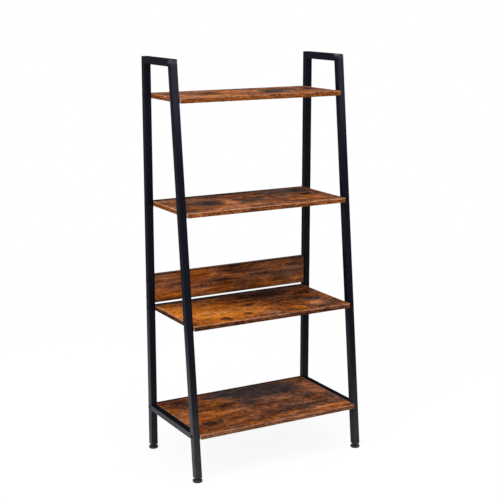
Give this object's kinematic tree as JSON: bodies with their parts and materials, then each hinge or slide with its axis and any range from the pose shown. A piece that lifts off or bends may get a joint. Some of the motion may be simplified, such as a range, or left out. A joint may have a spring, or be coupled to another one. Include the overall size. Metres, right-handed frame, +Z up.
{
  "type": "ladder shelf",
  "caption": "Ladder shelf: open boards between two square-tube side frames with leaning front legs, a low back panel and levelling glides.",
  "frame": {"origin": "on the floor, at the middle of the rectangle of the four glides", "axes": "+Z up, the open front faces -Y, +X runs along the boards to the right seen from the front"},
  "size_m": [0.608, 0.348, 1.264],
  "materials": {
    "tube_powder_coat": "satin",
    "board_decor": "satin",
    "edge_band": "satin",
    "bolt_black": "satin",
    "insert_zinc": "satin",
    "glide_stud": "satin",
    "glide_plastic": "matte"
  },
  "bodies": {
    "root": {"back_panel_board": "board_decor", "back_panel_end_bands": "edge_band", "back_panel_long_bands": "edge_band", "frame_bolts": "bolt_black", "left_bottom_rail": "tube_powder_coat", "left_front_leg": "tube_powder_coat", "left_front_tube_plug": "glide_plastic", "left_rear_leg": "tube_powder_coat", "left_rear_tube_plug": "glide_plastic", "left_top_bar": "tube_powder_coat", "right_bottom_rail": "tube_powder_coat", "right_front_leg": "tube_powder_coat", "right_front_tube_plug": "glide_plastic", "right_rear_leg": "tube_powder_coat", "right_rear_tube_plug": "glide_plastic", "right_top_bar": "tube_powder_coat", "shelf_1_board": "board_decor", "shelf_1_end_bands": "edge_band", "shelf_1_front_band": "edge_band", "shelf_1_rear_band": "edge_band", "shelf_2_board": "board_decor", "shelf_2_end_bands": "edge_band", "shelf_2_front_band": "edge_band", "shelf_2_rear_band": "edge_band", "shelf_3_board": "board_decor", "shelf_3_end_bands": "edge_band", "shelf_3_front_band": "edge_band", "shelf_3_rear_band": "edge_band", "shelf_4_board": "board_decor", "shelf_4_end_bands": "edge_band", "shelf_4_front_band": "edge_band", "shelf_4_rear_band": "edge_band", "threaded_inserts": "insert_zinc"},
    "left_front_pad": {"left_front_glide_pad": "glide_plastic"},
    "left_front_stud": {"left_front_glide_stud": "glide_stud"},
    "right_front_pad": {"right_front_glide_pad": "glide_plastic"},
    "right_front_stud": {"right_front_glide_stud": "glide_stud"},
    "left_rear_pad": {"left_rear_glide_pad": "glide_plastic"},
    "left_rear_stud": {"left_rear_glide_stud": "glide_stud"},
    "right_rear_pad": {"right_rear_glide_pad": "glide_plastic"},
    "right_rear_stud": {"right_rear_glide_stud": "glide_stud"}
  },
  "joints": [
    {"name": "left_front_glide_travel", "type": "slide", "parent": "root", "child": "left_front_pad", "axis": [0, 0, 1], "range_m": [-0.012, 0.0012]},
    {"name": "left_front_stud_turn", "type": "hinge", "parent": "left_front_pad", "child": "left_front_stud", "pos_m": [-0.289, -0.159, 0], "axis": [0, 0, 1], "range_deg": [-3470, 360]},
    {"name": "right_front_glide_travel", "type": "slide", "parent": "root", "child": "right_front_pad", "axis": [0, 0, 1], "range_m": [-0.012, 0.0012]},
    {"name": "right_front_stud_turn", "type": "hinge", "parent": "right_front_pad", "child": "right_front_stud", "pos_m": [0.289, -0.159, 0], "axis": [0, 0, 1], "range_deg": [-3470, 360]},
    {"name": "left_rear_glide_travel", "type": "slide", "parent": "root", "child": "left_rear_pad", "axis": [0, 0, 1], "range_m": [-0.012, 0.0012]},
    {"name": "left_rear_stud_turn", "type": "hinge", "parent": "left_rear_pad", "child": "left_rear_stud", "pos_m": [-0.289, 0.159, 0], "axis": [0, 0, 1], "range_deg": [-3470, 360]},
    {"name": "right_rear_glide_travel", "type": "slide", "parent": "root", "child": "right_rear_pad", "axis": [0, 0, 1], "range_m": [-0.012, 0.0012]},
    {"name": "right_rear_stud_turn", "type": "hinge", "parent": "right_rear_pad", "child": "right_rear_stud", "pos_m": [0.289, 0.159, 0], "axis": [0, 0, 1], "range_deg": [-3470, 360]}
  ],
  "couplings": [
    {"joint": "left_front_stud_turn", "follows": "left_front_glide_travel", "rad_per_m": 5026.5},
    {"joint": "right_front_stud_turn", "follows": "right_front_glide_travel", "rad_per_m": 5026.5},
    {"joint": "left_rear_stud_turn", "follows": "left_rear_glide_travel", "rad_per_m": 5026.5},
    {"joint": "right_rear_stud_turn", "follows": "right_rear_glide_travel", "rad_per_m": 5026.5}
  ]
}
